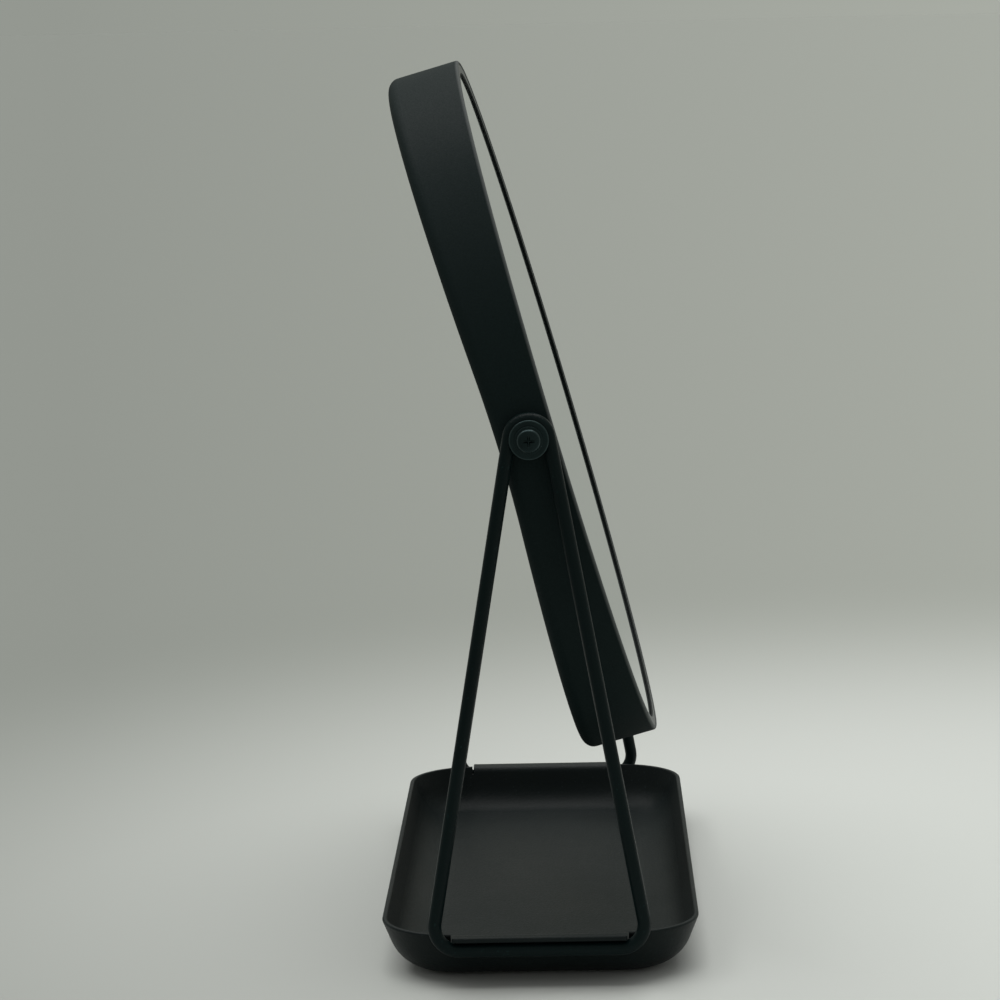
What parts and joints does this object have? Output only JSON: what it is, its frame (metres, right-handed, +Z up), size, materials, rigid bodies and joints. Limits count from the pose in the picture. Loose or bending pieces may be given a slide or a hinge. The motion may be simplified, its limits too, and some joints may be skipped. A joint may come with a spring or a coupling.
{
  "type": "tabletop vanity mirror with tray",
  "caption": "Round vanity mirror in a slim dark shell, tilting between two wire legs that are fixed to the ends of a shallow open tray, under its tabs.",
  "frame": {"origin": "on the table, under the middle of the tray", "axes": "+Z up; +X along the pivot axis, towards the right leg; the glass faces -Y and leans back at rest"},
  "size_m": [0.1842, 0.0728, 0.2057],
  "materials": {
    "tray_coating": "matt black powder coat on pressed steel, very fine texture",
    "leg_coating": "matt black powder coat on steel wire",
    "shell_plastic": "moulded charcoal plastic with a fine satin grain",
    "ring_plastic": "moulded charcoal plastic, a little smoother than the shell",
    "mirror": "silvered float glass, slightly green, with ground edges",
    "fastener_black": "black oxide steel",
    "sleeve_steel": "dark phosphated steel",
    "washer_nylon": "black nylon",
    "insert_brass": "turned brass, knurled",
    "foam": "white double-sided adhesive foam",
    "pad_rubber": "black anti-slip rubber"
  },
  "bodies": {
    "root": {"tray": "tray_coating", "base_pads": "pad_rubber", "wire_leg_left": "leg_coating", "pivot_sleeve_left": "sleeve_steel", "flat_washer_left": "fastener_black", "wire_leg_right": "leg_coating", "pivot_sleeve_right": "sleeve_steel", "flat_washer_right": "fastener_black"},
    "head": {"head_shell": "shell_plastic", "bezel_ring": "ring_plastic", "mirror_glass": "mirror", "foam_pads": "foam", "threaded_insert_left": "insert_brass", "pivot_screw_left": "fastener_black", "lock_washer_left": "fastener_black", "friction_washer_left": "washer_nylon", "threaded_insert_right": "insert_brass", "pivot_screw_right": "fastener_black", "lock_washer_right": "fastener_black", "friction_washer_right": "washer_nylon"}
  },
  "joints": [
    {"name": "mirror_tilt", "type": "hinge", "parent": "root", "child": "head", "pos_m": [0, 0, 0.1243], "axis": [-1, 0, 0], "continuous": true}
  ]
}
